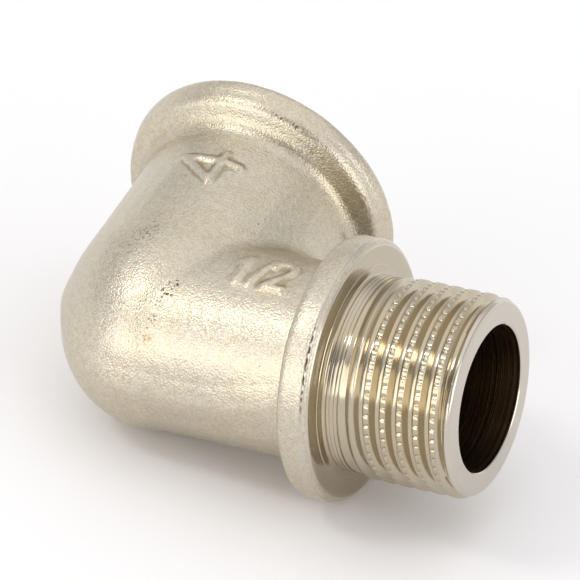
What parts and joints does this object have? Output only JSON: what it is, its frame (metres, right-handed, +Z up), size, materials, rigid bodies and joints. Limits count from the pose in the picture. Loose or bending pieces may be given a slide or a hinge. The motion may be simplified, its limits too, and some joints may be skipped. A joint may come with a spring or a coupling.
{
  "type": "threaded pipe elbow",
  "caption": "Right-angle pipe elbow with a flanged male thread at one end and a collared threaded socket at the other, forged in nickel-plated brass.",
  "frame": {"origin": "on the floor under the middle of the part's box, the part lying on its knee, flange and collar", "axes": "+Z up; +X along the male branch as seen from above, towards its open end, which rises a little; +Y on the side of the female socket's mouth, whose axis also rises a little"},
  "size_m": [0.0536, 0.0396, 0.0303],
  "materials": {
    "nickel_plated_brass": "satin nickel plate, grained on the forged body and bright on the turned ends"
  },
  "bodies": {
    "root": {"elbow_body": "nickel_plated_brass"}
  },
  "joints": []
}
